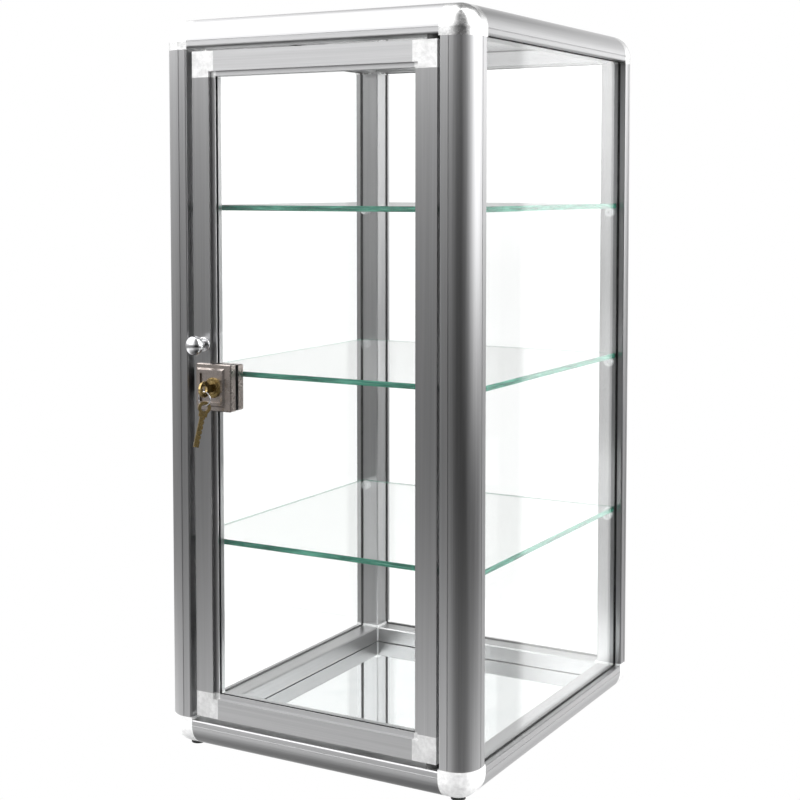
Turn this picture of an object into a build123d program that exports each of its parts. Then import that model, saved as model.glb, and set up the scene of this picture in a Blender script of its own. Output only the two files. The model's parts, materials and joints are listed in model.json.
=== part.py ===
"""Countertop display showcase: an aluminium frame glazed on four sides and on top, with a mirror floor,
three loose glass shelves and a framed glass door that swings on two pivot pins and has a knob and a key
lock.

Millimetres. +Z is up and the front with the door faces -Y. The pieces are drawn about the middle of the
case, on the surface that it stands on, and are written with the origin under the middle of the whole part,
which the keys put further forward.
"""

import os
from math import cos, radians, sin

from build123d import *

os.makedirs("parts", exist_ok=True)

# The case
WIDTH = 325.0
DEPTH = 382.0
HEIGHT = 686.0
FOOT_HEIGHT = 2.0
BASE = FOOT_HEIGHT
TOP = BASE + HEIGHT
ORIGIN_FORWARD = 10.0

# The framing extrusion: a hollow bar with one rounded outer edge and slots for the panes
POST = 30.0
RAIL = 27.0
ROUND = 21.6
WALL = 1.8
GROOVE = 0.45
EDGE_BREAK = 1.2
LIP_ROUND = 1.5
SLOT = 5.4
SLOT_MID = 8.5
SLOT_DEPTH = 8.0
CORE = 13.0
CHAMBER_OUTER = ROUND - WALL
CHAMBER_INNER = 14.2
CHAMBER_START = 200.0
CHAMBER_SWEEP = 50.0

# The corner castings
CORNER = 31.0
CORNER_RISE = 29.0
SPIGOT = 18.0
SPIGOT_GAP = 0.2

# The feet
FOOT_INSET = 22.0
FOOT_RADIUS = 6.5
FOOT_SCREW = 1.75
FOOT_SCREW_DEPTH = 10.0
FOOT_SCREW_HEAD = 3.2
FOOT_SCREW_RECESS = 1.0

# Glass, gaskets and floor
GLASS = 4.0
EDGE_GAP = 1.4
GASKET = 5.2
GASKET_REACH = 7.2
MIRROR = 3.0
BACKING = 1.5
SHELF = 5.0
SHELF_HALF_WIDTH = 151.0
SHELF_HALF_DEPTH = 160.0
SHELF_HEIGHTS = {"lower": 194.0, "middle": 355.5, "upper": 511.0}
PEG_X = 145.5
PEG_RADIUS = 4.5
PEG_LENGTH = 8.0
PEG_SCREW = 1.6
PEG_SCREW_DEPTH = 12.0

# The door
DOOR_HALF_WIDTH = 128.2
DOOR_BOTTOM = BASE + 31.0
DOOR_TOP = BASE + 655.0
DOOR_FRONT = -DEPTH / 2 + 4.0
DOOR_THICK = 15.0
FACE = 18.5
LIP = 23.0
LIP_SETBACK = 3.75
DOOR_SLOT_FRONT = 5.2
DOOR_SLOT = 4.8
DOOR_SLOT_FLOOR = 15.0
DOOR_GLASS_FRONT = DOOR_SLOT_FRONT + 0.4
DOOR_WALL = 1.5
DOOR_CORE_END = 13.2
DOOR_CORNER = 24.0
DOOR_SPIGOT = 15.0

# The pivots at the door's right edge
PIVOT_X = DOOR_HALF_WIDTH - 6.0
PIVOT_Y = DOOR_FRONT + 5.0
PIN_RADIUS = 2.5
PIN_IN_DOOR = 12.0
PIN_IN_RAIL = 9.0
RUNNING_GAP = 0.05
BUSH_RADIUS = 3.6
BUSH_LENGTH = PIN_IN_RAIL + 1.0
FLANGE_RADIUS = 5.5
FLANGE = 3.7

# The knob
KNOB_X = -116.5
KNOB_Z = BASE + 384.5
KNOB_ROSE_RADIUS = 7.0
KNOB_ROSE = 2.5
KNOB_NECK_RADIUS = 4.0
KNOB_HEAD_RADIUS = 9.0
KNOB_HEAD_HALF = 6.8
KNOB_HEAD_MIDDLE = 15.0
KNOB_SCREW_RADIUS = 2.0
KNOB_SCREW_IN_HEAD = 8.0
SCREW_HEAD_RADIUS = 3.6
SCREW_HEAD = 2.2

# The lock
LOCK_X = -104.5
LOCK_Z = BASE + 345.0
LOCK_WIDTH = 40.0
LOCK_HEIGHT = 44.0
LOCK_PLATE = 3.0
LOCK_LEFT = -115.0
LOCK_RIGHT = LOCK_X + LOCK_WIDTH / 2
LOCK_HALF_BODY = 21.4
PAD_FRONT = 1.5
PAD_REAR = 1.0
REAR_HOUSING = 8.4
CYLINDER_RADIUS = 9.5
CYLINDER_PROUD = 5.0
PLUG_RADIUS = 6.0
PLUG_PROUD = 5.3
KEYWAY = 2.4
KEYWAY_HEIGHT = 7.0
KEYWAY_DEPTH = 21.0
CAM = 2.0
CAM_LENGTH = 20.5
CAM_WIDTH = 10.0
CAM_SCREW_RADIUS = 1.5
NOTCH_GAP = 0.3

# The keys and their ring
KEY = 2.0
KEY_BLADE = 6.4
KEY_IN_PLUG = 19.0
BOW_RADIUS = 7.5
BOW_HOLE = 3.5
BOW_REACH = 11.5
RING_RADIUS = 6.5
RING_WIRE = 0.6
RING_ABOVE_RIM = 3.2
SPARE_BOW = 6.0
SPARE_HOLE = 3.1
SPARE_SLACK = 0.8
SPARE_LENGTH = 37.0
SPARE_TURN = 40.0
SPARE_TILT = -13.0


def save(builder, name):
    """Move a finished piece so that the origin is under the middle of the whole part, and write it."""
    piece = Pos(0, ORIGIN_FORWARD, 0) * builder.part
    piece.label = name
    export_step(piece, f"parts/{name}.step")


def block(low, high, mode=Mode.ADD):
    """A box between two corners, in whatever order they are given."""
    size = [abs(b - a) for a, b in zip(low, high)]
    middle = [(a + b) / 2 for a, b in zip(low, high)]
    with Locations(tuple(middle)):
        Box(*size, mode=mode)


# ---------------------------------------------------------------- the framing extrusion


def framing_bar(name, origin, u_dir, v_dir, length, v_size, pane_u, pane_v, hole_radius=0, holes=()):
    """One cut of the framing. origin is the middle of its outer corner line, and u_dir and v_dir point
    inward from its two outer faces. pane_u is a slot for a pane beside the u face, pane_v the other."""
    section = Plane(origin=origin, x_dir=u_dir, z_dir=Vector(*u_dir).cross(Vector(*v_dir)))
    with BuildPart() as bar:
        with BuildSketch(section) as profile:
            Rectangle(POST, v_size, align=(Align.MIN, Align.MIN))
            fillet(profile.vertices().sort_by_distance((0, 0))[0], ROUND)
            chamfer(profile.vertices().sort_by_distance((POST, v_size))[0], EDGE_BREAK)
            fillet(profile.vertices().sort_by_distance((0, v_size))[0], LIP_ROUND)
            fillet(profile.vertices().sort_by_distance((POST, 0))[0], LIP_ROUND)
            with Locations((0, ROUND), (ROUND, 0)):
                Circle(GROOVE, mode=Mode.SUBTRACT)
            if pane_u:
                with Locations((SLOT_MID, v_size)):
                    Rectangle(SLOT, 2 * SLOT_DEPTH, mode=Mode.SUBTRACT)
            if pane_v:
                with Locations((POST, SLOT_MID)):
                    Rectangle(2 * SLOT_DEPTH, SLOT, mode=Mode.SUBTRACT)
            with Locations((CORE, CORE)):
                Rectangle(
                    POST - WALL - CORE, v_size - WALL - CORE, align=(Align.MIN, Align.MIN), mode=Mode.SUBTRACT
                )
            with BuildLine():
                outer = CenterArc((ROUND, ROUND), CHAMBER_OUTER, CHAMBER_START, CHAMBER_SWEEP)
                inner = CenterArc((ROUND, ROUND), CHAMBER_INNER, CHAMBER_START, CHAMBER_SWEEP)
                Line(outer @ 0, inner @ 0)
                Line(outer @ 1, inner @ 1)
            make_face(mode=Mode.SUBTRACT)
        extrude(amount=length / 2, both=True)
        if holes:
            with Locations(*holes):
                Cylinder(hole_radius, 2 * BUSH_LENGTH, mode=Mode.SUBTRACT)
    save(bar, name)


POST_LENGTH = HEIGHT - 2 * CORNER_RISE
POST_FACE = DEPTH / 2 - POST
MIDDLE = BASE + HEIGHT / 2
SIDES = {"left": -1, "right": 1}
ENDS = {"front": -1, "rear": 1}
LEVELS = {"bottom": 1, "top": -1}
LEVEL_Z = {"bottom": BASE, "top": TOP}

for end, y_sign in ENDS.items():
    for side, x_sign in SIDES.items():
        peg_holes = [
            Location((x_sign * PEG_X, y_sign * POST_FACE, BASE + height - SHELF / 2 - PEG_RADIUS), (90, 0, 0))
            for height in SHELF_HEIGHTS.values()
        ]
        framing_bar(
            f"{end}_{side}_post",
            (x_sign * WIDTH / 2, y_sign * DEPTH / 2, MIDDLE),
            (-x_sign, 0, 0),
            (0, -y_sign, 0),
            POST_LENGTH,
            POST,
            pane_u=True,
            pane_v=end == "rear",
            hole_radius=PEG_SCREW,
            holes=peg_holes,
        )

for level, up in LEVELS.items():
    for end, y_sign in ENDS.items():
        bush_hole = [Location((PIVOT_X, PIVOT_Y, LEVEL_Z[level] + up * RAIL))] if end == "front" else ()
        framing_bar(
            f"{level}_{end}_rail",
            (0, y_sign * DEPTH / 2, LEVEL_Z[level]),
            (0, -y_sign, 0),
            (0, 0, up),
            WIDTH - 2 * CORNER,
            RAIL,
            pane_u=end == "rear",
            pane_v=True,
            hole_radius=BUSH_RADIUS,
            holes=bush_hole,
        )
    for side, x_sign in SIDES.items():
        framing_bar(
            f"{level}_{side}_rail",
            (x_sign * WIDTH / 2, 0, LEVEL_Z[level]),
            (-x_sign, 0, 0),
            (0, 0, up),
            DEPTH - 2 * CORNER,
            RAIL,
            pane_u=True,
            pane_v=True,
        )


# ---------------------------------------------------------------- the corner castings


def corner_casting(name, corner, inward, has_end_pane, screw_hole):
    """A cast corner, rounded on its three outer edges, with a spigot into each of the three bars."""

    def local_block(low, high, mode):
        near = [c + i * a for c, i, a in zip(corner, inward, low)]
        far = [c + i * a for c, i, a in zip(corner, inward, high)]
        block(near, far, mode)

    slot_low = SLOT_MID - SLOT / 2
    slot_high = SLOT_MID + SLOT / 2
    post_slot = POST - SLOT_DEPTH
    rail_slot = RAIL - SLOT_DEPTH
    core = CORE + SPIGOT_GAP
    post_end = POST - WALL - SPIGOT_GAP
    rail_end = RAIL - WALL - SPIGOT_GAP
    beyond = CORNER + 1
    with BuildPart() as casting:
        local_block((0, 0, 0), (CORNER, CORNER, CORNER_RISE), Mode.ADD)
        tip = casting.vertices().sort_by_distance(corner)[0]
        fillet([e for e in casting.edges() if e.distance_to(tip) < GROOVE], ROUND)
        local_block((slot_low, post_slot, rail_slot), (slot_high, beyond, beyond), Mode.SUBTRACT)
        if has_end_pane:
            local_block((post_slot, slot_low, rail_slot), (beyond, slot_high, beyond), Mode.SUBTRACT)
        local_block((post_slot, post_slot, slot_low), (beyond, beyond, slot_high), Mode.SUBTRACT)
        local_block((CORNER, core, core), (CORNER + SPIGOT, post_end, rail_end), Mode.ADD)
        local_block((core, CORNER, core), (post_end, CORNER + SPIGOT, rail_end), Mode.ADD)
        local_block((core, core, CORNER_RISE), (post_end, post_end, CORNER_RISE + SPIGOT), Mode.ADD)
        if screw_hole:
            with Locations((corner[0] + inward[0] * FOOT_INSET, corner[1] + inward[1] * FOOT_INSET, BASE)):
                Cylinder(FOOT_SCREW, 2 * FOOT_SCREW_DEPTH, mode=Mode.SUBTRACT)
    save(casting, name)


for level, up in LEVELS.items():
    for end, y_sign in ENDS.items():
        for side, x_sign in SIDES.items():
            corner_casting(
                f"{level}_{end}_{side}_corner",
                (x_sign * WIDTH / 2, y_sign * DEPTH / 2, LEVEL_Z[level]),
                (-x_sign, -y_sign, up),
                has_end_pane=end == "rear",
                screw_hole=level == "bottom",
            )

foot_places = [
    (x_sign * (WIDTH / 2 - FOOT_INSET), y_sign * (DEPTH / 2 - FOOT_INSET))
    for x_sign in SIDES.values()
    for y_sign in ENDS.values()
]

with BuildPart() as feet:
    with BuildSketch():
        with Locations(*foot_places):
            Circle(FOOT_RADIUS)
            Circle(FOOT_SCREW, mode=Mode.SUBTRACT)
    extrude(amount=FOOT_HEIGHT)
    with BuildSketch():
        with Locations(*foot_places):
            Circle(FOOT_SCREW_HEAD)
    extrude(amount=FOOT_SCREW_RECESS, mode=Mode.SUBTRACT)
save(feet, "rubber_feet")

with BuildPart() as foot_screws:
    with BuildSketch(Plane.XY.offset(FOOT_SCREW_RECESS - 0.6)):
        with Locations(*foot_places):
            Circle(FOOT_SCREW_HEAD - 0.2)
    extrude(amount=0.6)
    with BuildSketch(Plane.XY.offset(FOOT_SCREW_RECESS)):
        with Locations(*foot_places):
            Circle(FOOT_SCREW)
    extrude(amount=BASE + FOOT_SCREW_DEPTH - FOOT_SCREW_RECESS)
save(foot_screws, "foot_screws")


# ---------------------------------------------------------------- the fixed panes, the gaskets and the floor

PANE_X = WIDTH / 2 - SLOT_MID
PANE_Y = DEPTH / 2 - SLOT_MID
PANE_Z = HEIGHT / 2 - SLOT_MID
REACH_X = WIDTH / 2 - POST + SLOT_DEPTH - EDGE_GAP
REACH_Y = DEPTH / 2 - POST + SLOT_DEPTH - EDGE_GAP
REACH_Z = HEIGHT / 2 - RAIL + SLOT_DEPTH - EDGE_GAP
UPRIGHT = BASE + HEIGHT / 2

panes = {
    "left": ((-PANE_X, 0, UPRIGHT), (GLASS, 2 * REACH_Y, 2 * REACH_Z)),
    "right": ((PANE_X, 0, UPRIGHT), (GLASS, 2 * REACH_Y, 2 * REACH_Z)),
    "rear": ((0, PANE_Y, UPRIGHT), (2 * REACH_X, GLASS, 2 * REACH_Z)),
    "top": ((0, 0, TOP - SLOT_MID), (2 * REACH_X, 2 * REACH_Y, GLASS)),
}

for pane_name, (middle, size) in panes.items():
    with BuildPart() as pane:
        with Locations(middle):
            Box(*size)
    save(pane, f"{pane_name}_glass")

with BuildPart() as gaskets:
    for middle, size in panes.values():
        outer_size = [GASKET if s == GLASS else s + 1.2 * EDGE_GAP for s in size]
        inner_size = [2 * GASKET if s == GLASS else s - 2 * GASKET_REACH for s in size]
        with Locations(middle):
            strip = Box(*outer_size, mode=Mode.PRIVATE)
            window = Box(*inner_size, mode=Mode.PRIVATE)
            held = Box(*size, mode=Mode.PRIVATE)
        add(strip - window - held)
save(gaskets, "glazing_gaskets")

FLOOR_BOTTOM = BASE + SLOT_MID - SLOT / 2 + 0.2
MIRROR_BOTTOM = FLOOR_BOTTOM + BACKING

with BuildPart() as backing:
    block((-REACH_X, -REACH_Y, FLOOR_BOTTOM), (REACH_X, REACH_Y, MIRROR_BOTTOM))
save(backing, "floor_backing_board")

with BuildPart() as mirror_panel:
    block((-REACH_X, -REACH_Y, MIRROR_BOTTOM), (REACH_X, REACH_Y, MIRROR_BOTTOM + MIRROR))
save(mirror_panel, "floor_mirror")


# ---------------------------------------------------------------- the shelves and their pegs

for shelf_name, height in SHELF_HEIGHTS.items():
    peg_height = BASE + height - SHELF / 2 - PEG_RADIUS
    with BuildPart() as shelf:
        with Locations((0, 0, BASE + height)):
            Box(2 * SHELF_HALF_WIDTH, 2 * SHELF_HALF_DEPTH, SHELF)
        chamfer(shelf.edges().filter_by(Axis.Z), 1.0)
    save(shelf, f"{shelf_name}_shelf")
    with BuildPart() as pegs:
        for face in (-POST_FACE, POST_FACE):
            inward = Plane(origin=(0, face, peg_height), x_dir=(1, 0, 0), z_dir=(0, -face, 0))
            with BuildSketch(inward):
                with Locations((-PEG_X, 0), (PEG_X, 0)):
                    Circle(PEG_RADIUS)
                    Circle(PEG_SCREW, mode=Mode.SUBTRACT)
            extrude(amount=PEG_LENGTH)
        rims = [e for e in pegs.edges().filter_by(GeomType.CIRCLE) if abs(e.radius - PEG_RADIUS) < GROOVE]
        chamfer([e for e in rims if abs(e.center().Y) < POST_FACE - 1], 0.8)
    save(pegs, f"{shelf_name}_shelf_pegs")

with BuildPart() as peg_screws:
    for height in SHELF_HEIGHTS.values():
        peg_height = BASE + height - SHELF / 2 - PEG_RADIUS
        for face in (-POST_FACE, POST_FACE):
            head_face = face * (1 - (PEG_LENGTH - 1.0) / POST_FACE)
            head = Plane(origin=(0, head_face, peg_height), x_dir=(1, 0, 0), z_dir=(0, face, 0))
            with BuildSketch(head):
                with Locations((-PEG_X, 0), (PEG_X, 0)):
                    Circle(PEG_SCREW)
            extrude(amount=PEG_SCREW_DEPTH)
save(peg_screws, "peg_screws")


# ---------------------------------------------------------------- the door


def door_section(plane):
    """The door frame's section: x runs in from the door's outer edge, y back from its front face."""
    with BuildSketch(plane) as section:
        Rectangle(LIP, DOOR_THICK, align=(Align.MIN, Align.MIN))
        with Locations((FACE, 0)):
            Rectangle(LIP - FACE, LIP_SETBACK, align=(Align.MIN, Align.MIN), mode=Mode.SUBTRACT)
        with Locations((DOOR_SLOT_FLOOR, DOOR_SLOT_FRONT)):
            Rectangle(LIP, DOOR_SLOT, align=(Align.MIN, Align.MIN), mode=Mode.SUBTRACT)
        with Locations((DOOR_WALL, DOOR_WALL)):
            Rectangle(
                DOOR_CORE_END - DOOR_WALL,
                DOOR_THICK - 2 * DOOR_WALL,
                align=(Align.MIN, Align.MIN),
                mode=Mode.SUBTRACT,
            )
    return section.sketch


DOOR_MIDDLE = (DOOR_BOTTOM + DOOR_TOP) / 2
STILE_LENGTH = DOOR_TOP - DOOR_BOTTOM - 2 * DOOR_CORNER
DOOR_RAIL_LENGTH = 2 * DOOR_HALF_WIDTH - 2 * DOOR_CORNER
DOOR_BACK = DOOR_FRONT + DOOR_THICK
NOTCH_TOP = LOCK_Z + LOCK_HALF_BODY + NOTCH_GAP
NOTCH_BOTTOM = LOCK_Z - LOCK_HALF_BODY - NOTCH_GAP

for side, x_sign in SIDES.items():
    stile_plane = Plane(
        origin=(x_sign * DOOR_HALF_WIDTH, DOOR_FRONT, DOOR_MIDDLE),
        x_dir=(-x_sign, 0, 0),
        z_dir=(0, 0, -x_sign),
    )
    with BuildPart() as stile:
        extrude(door_section(stile_plane), amount=STILE_LENGTH / 2, both=True)
        if side == "left":
            notch_left = LOCK_LEFT - NOTCH_GAP
            notch_front = DOOR_FRONT - 1
            notch_back = DOOR_BACK + 1
            block((notch_left, notch_front, NOTCH_BOTTOM), (LOCK_X, notch_back, NOTCH_TOP), Mode.SUBTRACT)
            with Locations(Location((KNOB_X, (DOOR_FRONT + DOOR_BACK) / 2, KNOB_Z), (90, 0, 0))):
                Cylinder(KNOB_SCREW_RADIUS, 2 * DOOR_THICK, mode=Mode.SUBTRACT)
    save(stile, f"door_{side}_stile")

for level, up in LEVELS.items():
    edge = DOOR_BOTTOM if level == "bottom" else DOOR_TOP
    rail_plane = Plane(origin=(0, DOOR_FRONT, edge), x_dir=(0, 0, up), z_dir=(-up, 0, 0))
    with BuildPart() as door_rail:
        extrude(door_section(rail_plane), amount=DOOR_RAIL_LENGTH / 2, both=True)
    save(door_rail, f"door_{level}_rail")

with BuildPart() as door_corners:
    for level, up in LEVELS.items():
        edge = DOOR_BOTTOM if level == "bottom" else DOOR_TOP
        for side, x_sign in SIDES.items():

            def door_block(low, high, mode, inward=-x_sign, rise=up, edge_z=edge):
                edge_x = -inward * DOOR_HALF_WIDTH
                near = (edge_x + inward * low[0], DOOR_FRONT + low[1], edge_z + rise * low[2])
                far = (edge_x + inward * high[0], DOOR_FRONT + high[1], edge_z + rise * high[2])
                block(near, far, mode)

            spigot_low = DOOR_WALL + SPIGOT_GAP
            spigot_high = DOOR_CORE_END - SPIGOT_GAP
            spigot_back = DOOR_THICK - DOOR_WALL - SPIGOT_GAP
            door_block((0, 0, 0), (DOOR_CORNER, DOOR_THICK, DOOR_CORNER), Mode.ADD)
            door_block((FACE, -1, FACE), (DOOR_CORNER + 1, LIP_SETBACK, DOOR_CORNER + 1), Mode.SUBTRACT)
            door_block(
                (DOOR_SLOT_FLOOR, DOOR_SLOT_FRONT, DOOR_SLOT_FLOOR),
                (DOOR_CORNER + 1, DOOR_SLOT_FRONT + DOOR_SLOT, DOOR_CORNER + 1),
                Mode.SUBTRACT,
            )
            beyond = DOOR_CORNER + 1
            door_block((LIP, LIP_SETBACK - 1, LIP), (beyond, DOOR_THICK + 1, beyond), Mode.SUBTRACT)
            door_block(
                (DOOR_CORNER, spigot_low, spigot_low),
                (DOOR_CORNER + DOOR_SPIGOT, spigot_back, spigot_high),
                Mode.ADD,
            )
            door_block(
                (spigot_low, spigot_low, DOOR_CORNER),
                (spigot_high, spigot_back, DOOR_CORNER + DOOR_SPIGOT),
                Mode.ADD,
            )
        with Locations((PIVOT_X, PIVOT_Y, edge)):
            Cylinder(PIN_RADIUS, 2 * PIN_IN_DOOR, mode=Mode.SUBTRACT)
save(door_corners, "door_corner_castings")

GLASS_EDGE = DOOR_SLOT_FLOOR + 0.6
GLASS_FRONT = DOOR_FRONT + DOOR_GLASS_FRONT
GLASS_BACK = GLASS_FRONT + GLASS
NOTCH_RIGHT = LOCK_X + CYLINDER_RADIUS + 1.0
NOTCH_HALF = CYLINDER_RADIUS + 1.5
DOOR_PANE_X = DOOR_HALF_WIDTH - GLASS_EDGE

with BuildPart() as door_glass:
    block(
        (-DOOR_PANE_X, GLASS_FRONT, DOOR_BOTTOM + GLASS_EDGE),
        (DOOR_PANE_X, GLASS_BACK, DOOR_TOP - GLASS_EDGE),
    )
    block(
        (-DOOR_PANE_X - 1, GLASS_FRONT - 1, LOCK_Z - NOTCH_HALF),
        (NOTCH_RIGHT, GLASS_BACK + 1, LOCK_Z + NOTCH_HALF),
        Mode.SUBTRACT,
    )
save(door_glass, "door_glass")

GASKET_IN = LIP - 0.2
SLOT_FRONT_Y = DOOR_FRONT + DOOR_SLOT_FRONT
SLOT_BACK_Y = SLOT_FRONT_Y + DOOR_SLOT

with BuildPart() as door_gasket:
    edge_in = DOOR_SLOT_FLOOR + 0.1
    block(
        (-DOOR_HALF_WIDTH + edge_in, SLOT_FRONT_Y, DOOR_BOTTOM + edge_in),
        (DOOR_HALF_WIDTH - edge_in, SLOT_BACK_Y, DOOR_TOP - edge_in),
    )
    block(
        (-DOOR_HALF_WIDTH + GASKET_IN, SLOT_FRONT_Y - 1, DOOR_BOTTOM + GASKET_IN),
        (DOOR_HALF_WIDTH - GASKET_IN, SLOT_BACK_Y + 1, DOOR_TOP - GASKET_IN),
        Mode.SUBTRACT,
    )
    block(
        (-DOOR_PANE_X, GLASS_FRONT, DOOR_BOTTOM + GLASS_EDGE),
        (DOOR_PANE_X, GLASS_BACK, DOOR_TOP - GLASS_EDGE),
        Mode.SUBTRACT,
    )
    block(
        (-DOOR_HALF_WIDTH, SLOT_FRONT_Y - 1, NOTCH_BOTTOM),
        (LOCK_X, SLOT_BACK_Y + 1, NOTCH_TOP),
        Mode.SUBTRACT,
    )
save(door_gasket, "door_gasket")


# ---------------------------------------------------------------- the pivots

with BuildPart() as pins:
    for edge, up in ((DOOR_BOTTOM, 1), (DOOR_TOP, -1)):
        out_of_door = edge - BASE - RAIL if up == 1 else TOP - RAIL - edge
        low = edge - up * (out_of_door + PIN_IN_RAIL)
        high = edge + up * PIN_IN_DOOR
        with Locations((PIVOT_X, PIVOT_Y, (low + high) / 2)):
            Cylinder(PIN_RADIUS, abs(high - low))
save(pins, "pivot_pins")

with BuildPart() as bushes:
    for rail_face, up in ((BASE + RAIL, 1), (TOP - RAIL, -1)):
        with Locations((PIVOT_X, PIVOT_Y, rail_face + up * FLANGE / 2)):
            Cylinder(FLANGE_RADIUS, FLANGE)
        with Locations((PIVOT_X, PIVOT_Y, rail_face - up * BUSH_LENGTH / 2)):
            Cylinder(BUSH_RADIUS, BUSH_LENGTH)
        with Locations((PIVOT_X, PIVOT_Y, rail_face + up * (FLANGE - BUSH_LENGTH) / 2)):
            Cylinder(PIN_RADIUS + RUNNING_GAP, 2 * BUSH_LENGTH + 2 * FLANGE, mode=Mode.SUBTRACT)
save(bushes, "pivot_bushes")


# ---------------------------------------------------------------- the strike behind the left edge of the door

STRIKE_FRONT = DOOR_BACK + 1.5
STRIKE = 2.0
STRIKE_HALF_HEIGHT = 15.0
TONGUE_HALF_HEIGHT = 8.0
TONGUE_REACH = 8.5
STRIKE_BACK = -DEPTH / 2 + POST - 1.0
POST_SIDE = -WIDTH / 2 + POST

with BuildPart() as strike:
    block(
        (POST_SIDE, STRIKE_FRONT, LOCK_Z - STRIKE_HALF_HEIGHT),
        (POST_SIDE + STRIKE, STRIKE_BACK, LOCK_Z + STRIKE_HALF_HEIGHT),
    )
    block(
        (POST_SIDE + STRIKE, STRIKE_FRONT, LOCK_Z - TONGUE_HALF_HEIGHT),
        (POST_SIDE + STRIKE + TONGUE_REACH, STRIKE_FRONT + STRIKE, LOCK_Z + TONGUE_HALF_HEIGHT),
    )
save(strike, "lock_strike")


# ---------------------------------------------------------------- the knob

knob_section = Plane(origin=(KNOB_X, DOOR_FRONT, KNOB_Z), x_dir=(1, 0, 0), z_dir=(0, 0, 1))

with BuildPart() as knob:
    with BuildSketch(knob_section) as half:
        with Locations((0, -KNOB_HEAD_MIDDLE)):
            Ellipse(KNOB_HEAD_RADIUS, KNOB_HEAD_HALF)
        with Locations((0, -KNOB_HEAD_MIDDLE / 2)):
            Rectangle(2 * KNOB_NECK_RADIUS, KNOB_HEAD_MIDDLE)
        with Locations((0, -KNOB_ROSE / 2)):
            Rectangle(2 * KNOB_ROSE_RADIUS, KNOB_ROSE)
        with Locations((-KNOB_HEAD_RADIUS, -KNOB_HEAD_MIDDLE)):
            Rectangle(2 * KNOB_HEAD_RADIUS, 4 * KNOB_HEAD_MIDDLE, mode=Mode.SUBTRACT)
    revolve(axis=Axis((KNOB_X, DOOR_FRONT, KNOB_Z), (0, 1, 0)))
    rims = knob.edges().filter_by(GeomType.CIRCLE)
    rose_rims = [e for e in rims if abs(e.radius - KNOB_ROSE_RADIUS) < GROOVE]
    fillet([e for e in rose_rims if e.center().Y < DOOR_FRONT - 1], 1.2)
    with Locations(Location((KNOB_X, DOOR_FRONT, KNOB_Z), (90, 0, 0))):
        Cylinder(KNOB_SCREW_RADIUS, 2 * KNOB_SCREW_IN_HEAD, mode=Mode.SUBTRACT)
save(knob, "door_knob")

with BuildPart() as knob_screw:
    with Locations(Location((KNOB_X, (DOOR_BACK + DOOR_FRONT - KNOB_SCREW_IN_HEAD) / 2, KNOB_Z), (90, 0, 0))):
        Cylinder(KNOB_SCREW_RADIUS, DOOR_THICK + KNOB_SCREW_IN_HEAD)
    with Locations(Location((KNOB_X, DOOR_BACK + SCREW_HEAD / 2, KNOB_Z), (90, 0, 0))):
        Cylinder(SCREW_HEAD_RADIUS, SCREW_HEAD)
save(knob_screw, "knob_screw")


# ---------------------------------------------------------------- the lock

PLATE_FRONT = DOOR_FRONT - LOCK_PLATE
LOCK_TOP = LOCK_Z + LOCK_HALF_BODY
LOCK_BOTTOM = LOCK_Z - LOCK_HALF_BODY
PAD_FRONT_START = GLASS_FRONT - PAD_FRONT
REAR_START = GLASS_BACK + PAD_REAR
REAR_END = REAR_START + REAR_HOUSING
BEZEL_WIDTH = 31.0
BEZEL_HEIGHT = 36.0
BEZEL = 1.8
BEZEL_BEVEL = 1.7
BEZEL_POCKET_WIDTH = 23.0
BEZEL_POCKET_HEIGHT = 27.0
BEZEL_X = LOCK_X - 2.5


def lock_axis_cylinder(radius, front, back, mode=Mode.ADD):
    """A cylinder on the lock's own axis, from one Y to another."""
    with Locations(Location((LOCK_X, (front + back) / 2, LOCK_Z), (90, 0, 0))):
        Cylinder(radius, abs(back - front), mode=mode)


with BuildPart() as lock_front:
    block(
        (LOCK_X - LOCK_WIDTH / 2, PLATE_FRONT, LOCK_Z - LOCK_HEIGHT / 2),
        (LOCK_RIGHT, DOOR_FRONT, LOCK_Z + LOCK_HEIGHT / 2),
    )
    fillet(lock_front.edges().filter_by(Axis.Y), 2.0)
    chamfer(lock_front.faces().sort_by(Axis.Y)[0].edges(), 0.8)
    with BuildSketch(Plane(origin=(BEZEL_X, PLATE_FRONT, LOCK_Z), x_dir=(1, 0, 0), z_dir=(0, -1, 0))):
        Rectangle(BEZEL_WIDTH, BEZEL_HEIGHT)
    extrude(amount=BEZEL, taper=42)
    block((LOCK_LEFT, DOOR_FRONT, LOCK_BOTTOM), (LOCK_RIGHT, PAD_FRONT_START, LOCK_TOP))
    with BuildSketch(Plane(origin=(BEZEL_X, PLATE_FRONT, LOCK_Z), x_dir=(1, 0, 0), z_dir=(0, -1, 0))):
        Rectangle(BEZEL_POCKET_WIDTH, BEZEL_POCKET_HEIGHT)
    extrude(amount=2 * BEZEL, mode=Mode.SUBTRACT)
    lock_axis_cylinder(CYLINDER_RADIUS, PLATE_FRONT - 2 * BEZEL, PAD_FRONT_START + 1, Mode.SUBTRACT)
save(lock_front, "lock_front_housing")

with BuildPart() as lock_pads:
    block(
        (LOCK_LEFT + 0.2, PAD_FRONT_START, LOCK_BOTTOM + 0.3),
        (LOCK_RIGHT - 0.2, GLASS_FRONT, LOCK_TOP - 0.3),
    )
    block((LOCK_LEFT + 0.2, GLASS_BACK, LOCK_BOTTOM + 0.3), (LOCK_RIGHT - 0.2, REAR_START, LOCK_TOP - 0.3))
    lock_axis_cylinder(CYLINDER_RADIUS, PAD_FRONT_START - 1, REAR_START + 1, Mode.SUBTRACT)
save(lock_pads, "lock_rubber_pads")

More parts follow.
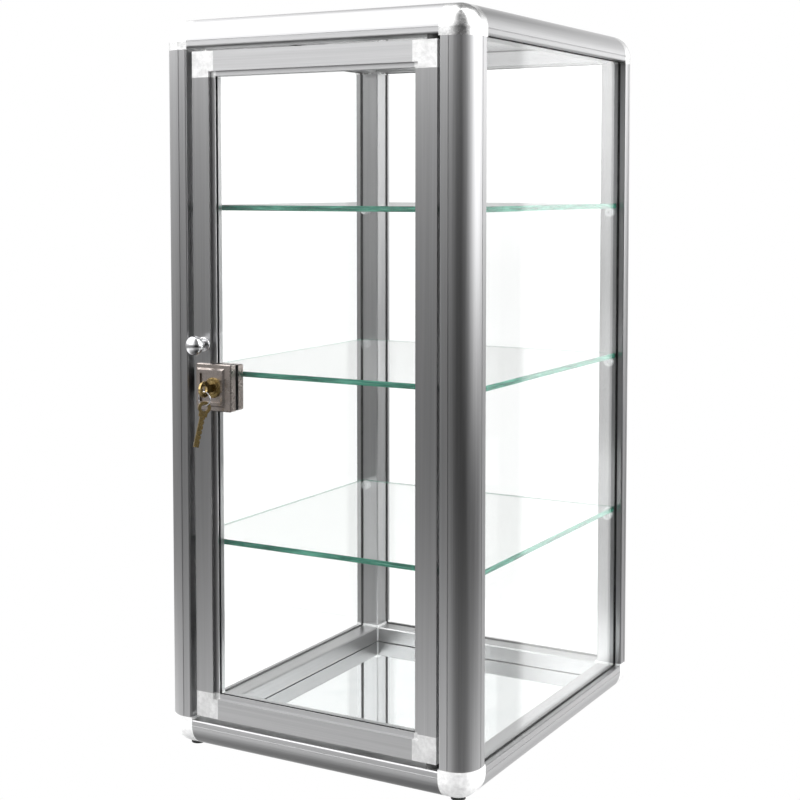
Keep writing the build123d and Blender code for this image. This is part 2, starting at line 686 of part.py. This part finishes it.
with BuildPart() as lock_rear:
    block((LOCK_LEFT, REAR_START, LOCK_BOTTOM), (LOCK_RIGHT, REAR_END, LOCK_TOP))
    fillet(lock_rear.edges().filter_by(Axis.Y), 2.0)
    fillet(lock_rear.faces().sort_by(Axis.Y)[-1].edges(), 1.2)
    lock_axis_cylinder(CYLINDER_RADIUS, REAR_START - 1, REAR_END + 1, Mode.SUBTRACT)
save(lock_rear, "lock_rear_housing")

CYLINDER_FRONT = DOOR_FRONT - CYLINDER_PROUD
PLUG_FRONT = DOOR_FRONT - PLUG_PROUD
CAM_FRONT = REAR_END + 0.6
CAM_BACK = CAM_FRONT + CAM

with BuildPart() as cylinder_shell:
    lock_axis_cylinder(CYLINDER_RADIUS, CYLINDER_FRONT, REAR_END)
    chamfer(cylinder_shell.faces().sort_by(Axis.Y)[0].edges(), 1.0)
    lock_axis_cylinder(PLUG_RADIUS + RUNNING_GAP, CYLINDER_FRONT - 1, REAR_END + 1, Mode.SUBTRACT)
save(cylinder_shell, "lock_cylinder")

with BuildPart() as plug:
    lock_axis_cylinder(PLUG_RADIUS, PLUG_FRONT, CAM_FRONT)
    chamfer(plug.faces().sort_by(Axis.Y)[0].edges(), 0.5)
    block(
        (LOCK_X - KEYWAY / 2, PLUG_FRONT - 1, LOCK_Z - KEYWAY_HEIGHT / 2),
        (LOCK_X + KEYWAY / 2, PLUG_FRONT + KEYWAY_DEPTH, LOCK_Z + KEYWAY_HEIGHT / 2),
        Mode.SUBTRACT,
    )
    lock_axis_cylinder(CAM_SCREW_RADIUS, PLUG_FRONT + KEYWAY_DEPTH + 0.5, CAM_FRONT + 1, Mode.SUBTRACT)
save(plug, "lock_plug")

with BuildPart() as cam:
    with BuildSketch(Plane(origin=(LOCK_X, CAM_FRONT, LOCK_Z), x_dir=(1, 0, 0), z_dir=(0, 1, 0))):
        Circle(CAM_WIDTH / 2 + 1)
        with Locations((0, -(CAM_LENGTH - CAM_WIDTH / 2) / 2)):
            Rectangle(CAM_WIDTH, CAM_LENGTH - CAM_WIDTH / 2)
        with Locations((0, -(CAM_LENGTH - CAM_WIDTH / 2))):
            Circle(CAM_WIDTH / 2)
        Circle(CAM_SCREW_RADIUS, mode=Mode.SUBTRACT)
    extrude(amount=CAM)
save(cam, "lock_cam")

with BuildPart() as cam_screw:
    lock_axis_cylinder(CAM_SCREW_RADIUS, PLUG_FRONT + KEYWAY_DEPTH + 0.5, CAM_BACK)
    lock_axis_cylinder(SCREW_HEAD_RADIUS, CAM_BACK, CAM_BACK + SCREW_HEAD)
save(cam_screw, "cam_screw")


# ---------------------------------------------------------------- the keys

BOW_Y = PLUG_FRONT - BOW_REACH
RIM = (BOW_RADIUS + BOW_HOLE) / 2

with BuildPart() as key:
    with BuildSketch(Plane(origin=(LOCK_X, PLUG_FRONT, LOCK_Z), x_dir=(0, 1, 0), z_dir=(1, 0, 0))):
        with Locations((-BOW_REACH, 0)):
            Circle(BOW_RADIUS)
        with Locations((-BOW_REACH / 2 - 0.2, 0)):
            Rectangle(BOW_REACH - 0.4, KEY_BLADE + 1.0)
        with Locations((KEY_IN_PLUG / 2 - 1, 0)):
            Rectangle(KEY_IN_PLUG + 2, KEY_BLADE)
        with Locations(*[(KEY_IN_PLUG * (n + 1) / 6, KEY_BLADE / 2) for n in range(5)]):
            Circle(0.9, mode=Mode.SUBTRACT)
        with Locations((-BOW_REACH, 0)):
            Circle(BOW_HOLE, mode=Mode.SUBTRACT)
    extrude(amount=KEY / 2, both=True)
save(key, "key")

RING_Z = LOCK_Z - RIM - (RING_RADIUS - RING_ABOVE_RIM)
with BuildPart() as ring:
    with Locations(Location((LOCK_X, BOW_Y, RING_Z), (90, 0, 0))):
        Torus(RING_RADIUS, RING_WIRE)
save(ring, "key_ring")

SPARE_Z = RING_Z - RING_RADIUS - (SPARE_HOLE - RING_WIRE - SPARE_SLACK)
spare_lean = cos(radians(SPARE_TILT))
spare_plane = Plane(
    origin=(LOCK_X, BOW_Y, SPARE_Z),
    x_dir=(
        sin(radians(SPARE_TURN)) * spare_lean,
        cos(radians(SPARE_TURN)) * spare_lean,
        sin(radians(SPARE_TILT)),
    ),
    z_dir=(cos(radians(SPARE_TURN)), -sin(radians(SPARE_TURN)), 0),
)

with BuildPart() as spare_key:
    with BuildSketch(spare_plane):
        Circle(SPARE_BOW)
        with Locations((0, -SPARE_BOW)):
            Rectangle(KEY_BLADE + 1.6, 5.0)
        with Locations((0, -(SPARE_LENGTH + SPARE_BOW) / 2)):
            Rectangle(KEY_BLADE - 1.4, SPARE_LENGTH - SPARE_BOW)
        with Locations(*[(KEY_BLADE / 2 - 0.7, -SPARE_BOW - 5.5 - 4.6 * n) for n in range(5)]):
            Circle(0.9, mode=Mode.SUBTRACT)
        Circle(SPARE_HOLE, mode=Mode.SUBTRACT)
    extrude(amount=KEY * 0.45, both=True)
save(spare_key, "spare_key")
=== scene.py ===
"""Looks of the glass display showcase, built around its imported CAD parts. Metres, +Z up, front towards -Y."""

import json
from math import radians

import bpy
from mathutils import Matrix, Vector


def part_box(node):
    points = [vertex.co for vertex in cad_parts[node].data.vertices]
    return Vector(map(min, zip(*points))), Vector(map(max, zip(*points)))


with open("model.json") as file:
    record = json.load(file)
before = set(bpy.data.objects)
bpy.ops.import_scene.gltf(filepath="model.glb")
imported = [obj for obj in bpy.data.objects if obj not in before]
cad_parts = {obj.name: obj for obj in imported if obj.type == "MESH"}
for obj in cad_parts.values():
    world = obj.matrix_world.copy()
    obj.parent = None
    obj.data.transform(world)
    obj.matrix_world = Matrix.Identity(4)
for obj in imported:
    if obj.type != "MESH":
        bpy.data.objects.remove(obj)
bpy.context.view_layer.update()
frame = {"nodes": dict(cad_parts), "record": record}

NODES = frame["nodes"]
SLOTS = {part["node"]: part["material_slot"] for part in frame["record"]["subparts"]}


# ---------------------------------------------------------------- node trees


class Tree:
    """A node tree with short calls to add and join nodes."""

    def __init__(self, tree):
        self.tree = tree
        tree.nodes.clear()

    def add(self, kind, inputs=(), **settings):
        node = self.tree.nodes.new("ShaderNode" + kind)
        for name, value in settings.items():
            setattr(node, name, value)
        for key, value in dict(inputs).items():
            self.feed(node.inputs[key], value)
        return node

    def feed(self, socket, value):
        if isinstance(value, bpy.types.NodeSocket):
            self.tree.links.new(value, socket)
        else:
            socket.default_value = value

    def math(self, operation, a, b=0.0, c=0.0):
        return self.add("Math", {0: a, 1: b, 2: c}, operation=operation).outputs[0]

    def ramp(self, value, low, high, from_low=0.0, from_high=1.0):
        """value, mapped smoothly from one range to another and held at its ends."""
        node = self.add("MapRange", interpolation_type="SMOOTHSTEP")
        for key, number in zip((1, 2, 3, 4), (from_low, from_high, low, high)):
            node.inputs[key].default_value = number
        self.feed(node.inputs[0], value)
        return node.outputs[0]

    def noise(self, vector, scale=1.0, detail=2.0, roughness=0.5, spread=(0.3, 0.7)):
        """Noise from 0 to 1, with the part of its range given by spread stretched to the whole."""
        inputs = {"Vector": vector, "Scale": scale, "Detail": detail, "Roughness": roughness}
        raw = self.add("TexNoise", inputs).outputs[0]
        return self.ramp(raw, 0, 1, *spread)

    def blend(self, one, other, share):
        """A mix of two values, with this share of the first."""
        return self.math("MULTIPLY_ADD", one, share, self.math("MULTIPLY", other, 1 - share))

    def place(self, stretch=(1, 1, 1)):
        """Places in the part's own frame, stretched."""
        where = self.add("TexCoord").outputs["Object"]
        return self.add("Mapping", {"Vector": where, "Scale": stretch}).outputs[0]

    def tint(self, dark, light, share):
        """A colour between two, by a share from 0 to 1."""
        node = self.add("Mix", data_type="RGBA")
        self.feed(node.inputs[0], share)
        node.inputs[6].default_value = (*dark, 1)
        node.inputs[7].default_value = (*light, 1)
        return node.outputs[2]

    def bump(self, height, strength, distance):
        inputs = {"Height": height, "Strength": strength, "Distance": distance}
        return self.add("Bump", inputs).outputs[0]

    def shader(self, kind, inputs):
        return self.add(kind, inputs).outputs[0]

    def either(self, switch, off, on):
        """One of two shaders, by a switch that is 0 or 1."""
        return self.shader("MixShader", {0: switch, 1: off, 2: on})

    def finish(self, shader, output="OutputMaterial"):
        self.feed(self.add(output).inputs["Surface"], shader)


def material(name):
    made = bpy.data.materials.new(name)
    made.use_nodes = True
    return made, Tree(made.node_tree)


def grey(value):
    return (value, value, value)


# ---------------------------------------------------------------- materials

ALONG = {"X": (1, 0, 0), "Y": (0, 1, 0), "Z": (0, 0, 1)}
# Noise cells per metre: along the bar and across it, or along X, Y and Z.
DRAW_LINES = (6, 900)
DRAW_BANDS = (1.5, 170)
RUBBED_MARKS = (2500, 300, 300)
EDGE_RUNS = (26, 26, 500)
BOARD_FIBRES = (500, 160, 500)


def brushed_aluminium(name, axis):
    """Satin anodised extrusion, with fine draw lines and wider bands along one axis."""
    made, tree = material(name)
    grain = Vector(ALONG[axis])
    fine = tree.place([DRAW_LINES[0] if along else DRAW_LINES[1] for along in grain])
    coarse = tree.place([DRAW_BANDS[0] if along else DRAW_BANDS[1] for along in grain])
    streaks = tree.noise(fine, detail=3.0, roughness=0.6)
    bands = tree.noise(coarse)
    share = tree.blend(streaks, bands, 0.55)
    normal = tree.add("NewGeometry").outputs["Normal"]
    across = tree.add("VectorMath", {0: normal, 1: grain}, operation="CROSS_PRODUCT").outputs[0]
    metal = tree.shader(
        "BsdfPrincipled",
        {
            "Base Color": tree.tint((0.38, 0.38, 0.385), (0.45, 0.45, 0.455), share),
            "Metallic": 1.0,
            "Roughness": tree.ramp(share, 0.28, 0.32),
            "Anisotropic": 0.8,
            "Tangent": across,
            "Normal": tree.bump(streaks, 0.06, 0.0002),
        },
    )
    tree.finish(metal)
    return made


def cast_metal(name, dark, light, rough, metallic, dents):
    """Bright casting with a slightly uneven, mottled skin."""
    made, tree = material(name)
    where = tree.place()
    mottle = tree.noise(where, 260.0, 4.0, 0.6, (0.35, 0.65))
    waves = tree.noise(where, 70.0)
    share = tree.blend(mottle, waves, 0.5)
    metal = tree.shader(
        "BsdfPrincipled",
        {
            "Base Color": tree.tint(dark, light, share),
            "Metallic": metallic,
            "Roughness": tree.ramp(mottle, *rough),
            "Normal": tree.bump(share, dents, 0.0006),
        },
    )
    tree.finish(metal)
    return made


def worn_metal(name, dark, light, rough, scale=300.0, dent=0.0001):
    """Plated or bare metal: soft patches and fine rubbed marks, glossier where it is lighter."""
    made, tree = material(name)
    patches = tree.noise(tree.place(), scale, 3.0, 0.6, (0.35, 0.65))
    marks = tree.noise(tree.place(RUBBED_MARKS), spread=(0.4, 0.7))
    share = tree.blend(patches, marks, 0.7)
    glossy, dull = rough
    metal = tree.shader(
        "BsdfPrincipled",
        {
            "Base Color": tree.tint(dark, light, share),
            "Metallic": 1.0,
            "Roughness": tree.ramp(share, dull, glossy),
            "Normal": tree.bump(share, 0.15, dent),
        },
    )
    tree.finish(metal)
    return made


def see_through(name, dark, light, rough=0.0, index=1.5, through=1.0):
    """Glass or clear plastic. Shadow rays pass straight through it, so what is inside stays lit."""
    made, tree = material(name)
    share = tree.noise(tree.place(), 12.0)
    glass = tree.shader(
        "BsdfPrincipled",
        {
            "Base Color": tree.tint(dark, light, share),
            "Roughness": rough,
            "IOR": index,
            "Transmission Weight": through,
        },
    )
    clear = tree.shader("BsdfTransparent", {"Color": (*light, 1)})
    for_shadows = tree.add("LightPath").outputs["Is Shadow Ray"]
    tree.finish(tree.either(for_shadows, glass, clear))
    return made


def glass_edge(name):
    """The ground and polished edge of a shelf: deep green, brighter where light runs along it."""
    made, tree = material(name)
    runs = tree.noise(tree.place(EDGE_RUNS), detail=3.0, roughness=0.6, spread=(0.35, 0.7))
    edge = tree.shader(
        "BsdfPrincipled",
        {
            "Base Color": tree.tint((0.006, 0.11, 0.07), (0.07, 0.34, 0.24), runs),
            "Roughness": tree.ramp(runs, 0.12, 0.30),
            "IOR": 1.5,
            "Coat Weight": 0.6,
            "Coat Roughness": 0.05,
        },
    )
    tree.finish(edge)
    return made


def mirror_glass(name):
    """Silvered glass with a faint haze."""
    made, tree = material(name)
    haze = tree.noise(tree.place(), 35.0, 4.0, 0.6, (0.4, 0.75))
    silver = tree.shader(
        "BsdfPrincipled",
        {
            "Base Color": tree.tint((0.90, 0.92, 0.92), (0.86, 0.89, 0.89), haze),
            "Metallic": 1.0,
            "Roughness": tree.ramp(haze, 0.012, 0.03),
        },
    )
    tree.finish(silver)
    return made


def rubber(name, dark, light, rough=(0.55, 0.75)):
    """Moulded rubber or plastic with a fine matt grain."""
    made, tree = material(name)
    grain = tree.noise(tree.place(), 1800.0, spread=(0.35, 0.65))
    dust = tree.noise(tree.place(), 90.0, 3.0, spread=(0.35, 0.7))
    moulded = tree.shader(
        "BsdfPrincipled",
        {
            "Base Color": tree.tint(dark, light, dust),
            "Roughness": tree.ramp(grain, *rough),
            "Normal": tree.bump(grain, 0.2, 0.0001),
        },
    )
    tree.finish(moulded)
    return made


def hardboard(name):
    """Pressed brown board with short fibres."""
    made, tree = material(name)
    fibres = tree.noise(tree.place(BOARD_FIBRES), detail=5.0, roughness=0.7)
    board = tree.shader(
        "BsdfPrincipled",
        {
            "Base Color": tree.tint((0.14, 0.09, 0.055), (0.26, 0.18, 0.11), fibres),
            "Roughness": tree.ramp(fibres, 0.6, 0.8),
            "Normal": tree.bump(fibres, 0.3, 0.0002),
        },
    )
    tree.finish(board)
    return made


FINISHES = {
    "cast_corners": cast_metal(
        "bright_casting", grey(0.74), grey(0.97), rough=(0.38, 0.55), metallic=0.55, dents=0.25
    ),
    "mirror": mirror_glass("silvered_mirror"),
    "shelf_glass": see_through("shelf_glass", (0.975, 0.995, 0.985), (0.985, 1.0, 0.992)),
    "clear_glass": see_through("clear_glass", (0.990, 0.997, 0.994), (0.996, 1.0, 0.998)),
    "clear_plastic": see_through(
        "clear_plastic", (0.86, 0.87, 0.88), (0.95, 0.96, 0.97), rough=0.10, index=1.49, through=0.45
    ),
    "black_rubber": rubber("black_rubber", grey(0.012), grey(0.03)),
    "board": hardboard("hardboard"),
    "chrome": worn_metal("chrome", (0.52, 0.52, 0.53), (0.70, 0.70, 0.71), rough=(0.10, 0.18)),
    "ring_steel": worn_metal("ring_steel", (0.42, 0.42, 0.44), (0.68, 0.68, 0.70), rough=(0.12, 0.22)),
    "lock_nickel": worn_metal(
        "lock_nickel", (0.31, 0.27, 0.25), (0.43, 0.385, 0.36), rough=(0.22, 0.32), scale=140.0, dent=0.00004
    ),
    "lock_brass": worn_metal("lock_brass", (0.22, 0.155, 0.06), (0.50, 0.375, 0.17), rough=(0.22, 0.34)),
    "nylon": rubber("dark_nylon", grey(0.03), grey(0.05), rough=(0.35, 0.5)),
    "zinc_steel": worn_metal("zinc_steel", (0.42, 0.42, 0.43), (0.60, 0.60, 0.61), rough=(0.24, 0.38)),
}
ALUMINIUM = {axis: brushed_aluminium(f"satin_aluminium_{axis.lower()}", axis) for axis in ALONG}
SHELF_EDGE = glass_edge("shelf_glass_edge")
# The door's corner castings: a darker copy of the casting finish. Its lower base colour is painted shade that
# tones them down under the stronger overhead light.
DOOR_CORNER_PAINTED_SHADE = cast_metal(
    "door_casting_painted_shade", grey(0.60), grey(0.82), rough=(0.34, 0.50), metallic=0.8, dents=0.2
)
POLISHED_CORNER = cast_metal(
    "polished_casting", grey(0.62), grey(0.80), rough=(0.20, 0.28), metallic=1.0, dents=0.05
)
# A face whose normal stands up or down by more than this is a top or underside, not an edge.
LEVEL_FACE = 0.5


def long_axis(node):
    low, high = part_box(node)
    size = high - low
    return "XYZ"[max(range(3), key=lambda i: size[i])]


def finishes_of(node, slot):
    """The materials of a node: a bar's by its long axis, a casting's by its place, the rest by slot."""
    if slot == "satin_aluminium":
        return [ALUMINIUM[long_axis(node)]]
    # The door's castings take the darker copy, whose colour holds painted shade.
    if node == "door_corner_castings":
        return [DOOR_CORNER_PAINTED_SHADE]
    if node.startswith("top_") and node.endswith("_corner"):
        return [POLISHED_CORNER]
    if slot == "shelf_glass":
        return [FINISHES[slot], SHELF_EDGE]
    return [FINISHES[slot]]


def dress(node, slot):
    mesh = NODES[node].data
    mesh.materials.clear()
    for one in finishes_of(node, slot):
        mesh.materials.append(one)
    if slot == "shelf_glass":
        for face in mesh.polygons:
            face.material_index = 0 if abs(face.normal.z) > LEVEL_FACE else 1


for part_node, part_slot in SLOTS.items():
    dress(part_node, part_slot)


# ---------------------------------------------------------------- studio

WHITE = 1.0
WHITE_THROUGH_GLASS = 1.22
# The brightest value that a curve below may hold.
BRIGHTEST = 4.0

# How bright the studio is level with the case, by the angle round it in degrees: 0 is straight in front
# and 90 is on the right. The camera side is dark. The right has a large soft light, the left a dimmer one.
ROUND_THE_CASE = (
    (-180, 0.70), (-150, 0.72), (-120, 0.85), (-90, 0.95), (-62, 0.86), (-34, 0.68),
    (-12, 0.50), (6, 0.15), (22, 0.04), (42, 0.04), (54, 0.10), (66, 0.35),
    (80, 1.1), (94, 2.4), (110, 3.2), (132, 2.4), (150, 1.0), (180, 0.70),
)
# The share of that brightness at each height, in degrees above the horizon, at the left, right and rear.
HEIGHTS_LEFT = (
    (-90, 0.15), (-60, 0.22), (-44, 0.55), (-32, 1.3), (-24, 1.9), (-18, 1.15),
    (-14, 0.46), (-9, 0.44), (-4, 0.62), (0, 0.86), (4, 1.0), (90, 1.0),
)
HEIGHTS_RIGHT = (
    (-90, 0.15), (-40, 0.30), (-25, 0.50), (-19, 0.20), (-14, 0.02),
    (-10, 0.03), (-6, 0.40), (-2, 1.15), (2, 1.15), (90, 1.0),
)
HEIGHTS_REAR = (
    (-90, 0.2), (-50, 0.5), (-30, 0.9), (-12, 0.5), (-3, 0.4), (1, 1.0),
    (4, 1.5), (22, 1.4), (28, 0.5), (45, 0.5), (90, 0.5),
)
# Where the right side begins and ends, and where the rear takes over, in degrees round the case.
RIGHT_SIDE = (55, 142)
RIGHT_SOFTNESS = 12
REAR_BLEND = (130, 155)
# The overhead light, by height and round the case: added to the rest.
OVERHEAD = ((-90, 0.0), (4, 0.0), (11, 2.0), (26, 3.0), (65, 2.6), (90, 1.8))
OVERHEAD_ROUND = (
    (-180, 0.0), (-145, 0.0), (-125, 0.25), (-95, 1.0), (-30, 0.95), (0, 0.35), (20, 0.08),
    (55, 0.08), (80, 0.9), (105, 0.9), (125, 0.2), (150, 0.0), (180, 0.0),
)
# What the floor near the case sends back all round, by height.
FLOOR_GLOW = ((-90, 0.0), (-50, 0.05), (-28, 0.26), (-18, 0.17), (-13, 0.0), (90, 0.0))
# A white card behind at the right, which the right pane mirrors: its sides and its foot and top in degrees.
CARD_SIDES = (155.2, 163.0)
CARD_SIDES_SOFTNESS = 0.25
CARD_ENDS = (-24.0, 12.0)
CARD_ENDS_SOFTNESS = 1.0
CARD_LIGHT = 1.1


def curve(tree, value, stops, low, high):
    """Straight stretches through (place, height) pairs from low to high, read at value."""
    node = tree.add("ValToRGB")
    ramp = node.color_ramp
    ramp.interpolation = "LINEAR"
    for place, height in stops[1:-1]:
        ramp.elements.new((place - low) / (high - low))
    for element, (place, height) in zip(ramp.elements, stops):
        element.position = (place - low) / (high - low)
        element.color = (*grey(height / BRIGHTEST), 1)
    share = tree.add("MapRange", {0: value, 1: low, 2: high, 3: 0.0, 4: 1.0}).outputs[0]
    tree.feed(node.inputs[0], share)
    return tree.math("MULTIPLY", node.outputs[0], BRIGHTEST)


def between(tree, value, ends, softness):
    """1 between two ends and 0 outside them, with soft steps."""
    rise = tree.ramp(value, 0, 1, ends[0] - softness, ends[0] + softness)
    fall = tree.ramp(value, 1, 0, ends[1] - softness, ends[1] + softness)
    return tree.math("MULTIPLY", rise, fall)


def part_way(tree, start, end, share):
    """From start to end by a share from 0 to 1."""
    return tree.math("ADD", start, tree.math("MULTIPLY", share, tree.math("SUBTRACT", end, start)))


def seen_straight(tree):
    """1 for what the camera sees directly or through glass alone, 0 for the rest."""
    path = tree.add("LightPath").outputs
    ahead = tree.math("MAXIMUM", path["Is Camera Ray"], path["Is Transmission Ray"])
    turned_away = tree.math("ADD", path["Diffuse Depth"], path["Glossy Depth"])
    return tree.math("MULTIPLY", ahead, tree.math("LESS_THAN", turned_away, 0.5))


def backdrop_white(tree):
    """White, made up behind glass for what its faces turn away."""
    path = tree.add("LightPath").outputs
    return tree.math("MULTIPLY_ADD", path["Is Transmission Ray"], WHITE_THROUGH_GLASS - WHITE, WHITE)


def studio_light(tree):
    """How bright the studio is in each direction."""
    way = tree.add("TexCoord").outputs["Generated"]
    x, y, z = tree.add("SeparateXYZ", {0: way}).outputs
    turn = tree.math("DEGREES", tree.math("ARCTAN2", x, tree.math("MULTIPLY", y, -1.0)))
    height = tree.math("DEGREES", tree.math("ARCSINE", z))

    def by_turn(stops):
        return curve(tree, turn, stops, -180, 180)

    def by_height(stops):
        return curve(tree, height, stops, -90, 90)

    rightness = between(tree, turn, RIGHT_SIDE, RIGHT_SOFTNESS)
    rearness = tree.ramp(tree.math("ABSOLUTE", turn), 0, 1, *REAR_BLEND)
    share = part_way(tree, by_height(HEIGHTS_LEFT), by_height(HEIGHTS_RIGHT), rightness)
    share = part_way(tree, share, by_height(HEIGHTS_REAR), rearness)
    walls = tree.math("MULTIPLY", by_turn(ROUND_THE_CASE), share)
    overhead = tree.math("MULTIPLY", by_height(OVERHEAD), by_turn(OVERHEAD_ROUND))
    card = tree.math(
        "MULTIPLY",
        between(tree, turn, CARD_SIDES, CARD_SIDES_SOFTNESS),
        between(tree, height, CARD_ENDS, CARD_ENDS_SOFTNESS),
    )
    light = tree.math("ADD", tree.math("ADD", walls, overhead), by_height(FLOOR_GLOW))
    return tree.math("MULTIPLY_ADD", card, CARD_LIGHT, light)


def studio():
    """Plain white where the camera looks, and a soft studio in the light and in what the metal mirrors."""
    world = bpy.data.worlds.new("studio")
    bpy.context.scene.world = world
    world.use_nodes = True
    tree = Tree(world.node_tree)
    lamps = tree.shader("Background", {"Color": (*grey(1), 1), "Strength": studio_light(tree)})
    white = tree.shader("Background", {"Color": (*grey(1), 1), "Strength": backdrop_white(tree)})
    tree.finish(tree.either(seen_straight(tree), lamps, white), "OutputWorld")


# ---------------------------------------------------------------- floor and camera

FLOOR_SIZE = 60.0
FLOOR_DROP = 0.0002

CAMERA_PLACE = (0.7359, -1.3183, 0.5317)
CAMERA_PITCH = -3.52
CAMERA_YAW = 29.42
CAMERA_LENS = 68.70
CAMERA_SENSOR = 36.0
CAMERA_SHIFT = -0.1479


def floor_paint():
    """Matt and pale in the light, plain white to the camera, and clear to rays that leave metal."""
    made, tree = material("pale_floor")
    patches = tree.noise(tree.place(), 3.0)
    matt = tree.shader(
        "BsdfPrincipled", {"Base Color": tree.tint(grey(0.84), grey(0.87), patches), "Roughness": 0.9}
    )
    white = tree.shader("Emission", {"Color": (*grey(1), 1), "Strength": backdrop_white(tree)})
    in_metal = tree.add("LightPath").outputs["Is Glossy Ray"]
    open_air = tree.shader("BsdfTransparent", {"Color": (*grey(1), 1)})
    tree.finish(tree.either(seen_straight(tree), tree.either(in_metal, matt, open_air), white))
    return made


def lay_floor():
    bpy.ops.mesh.primitive_plane_add(size=FLOOR_SIZE, location=(0, 0, -FLOOR_DROP))
    floor = bpy.context.object
    floor.name = "studio_floor"
    floor.visible_glossy = False
    floor.data.materials.append(floor_paint())


def set_camera(scene):
    camera_data = bpy.data.cameras.new("camera")
    camera_data.lens = CAMERA_LENS
    camera_data.sensor_width = CAMERA_SENSOR
    camera_data.shift_y = CAMERA_SHIFT
    camera = bpy.data.objects.new("camera", camera_data)
    camera.location = CAMERA_PLACE
    camera.rotation_euler = (radians(90 + CAMERA_PITCH), 0, radians(CAMERA_YAW))
    scene.collection.objects.link(camera)
    scene.camera = camera


lay_floor()
studio()
scene = bpy.context.scene
scene.view_settings.view_transform = "Standard"
set_camera(scene)
